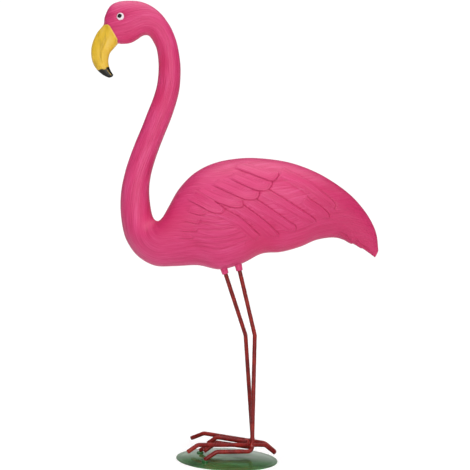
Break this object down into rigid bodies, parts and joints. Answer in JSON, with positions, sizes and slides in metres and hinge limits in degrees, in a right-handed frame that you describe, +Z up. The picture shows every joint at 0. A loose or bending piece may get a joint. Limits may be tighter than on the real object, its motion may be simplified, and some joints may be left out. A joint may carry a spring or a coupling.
{
  "type": "plastic flamingo lawn ornament",
  "caption": "Standing wading bird lawn ornament: pink moulded plastic body with a hooked beak, on bent steel rod legs and a round base disc.",
  "frame": {"origin": "on the ground, under the middle of the whole ornament's bounding box", "axes": "+Z up; the bird looks towards -X, with its left side at -Y"},
  "size_m": [0.5661, 0.194, 0.8698],
  "materials": {
    "pink_plastic": "blow-moulded plastic, satin, with a painted yellow and black beak and painted eyes",
    "red_paint": "dark red gloss paint on steel rod",
    "green_paint": "green gloss paint on sheet steel"
  },
  "bodies": {
    "root": {"bird": "pink_plastic", "left_leg": "red_paint", "left_middle_and_back_toe": "red_paint", "left_inner_toe": "red_paint", "right_leg": "red_paint", "right_middle_and_back_toe": "red_paint", "right_inner_toe": "red_paint", "base_disc": "green_paint"}
  },
  "joints": []
}
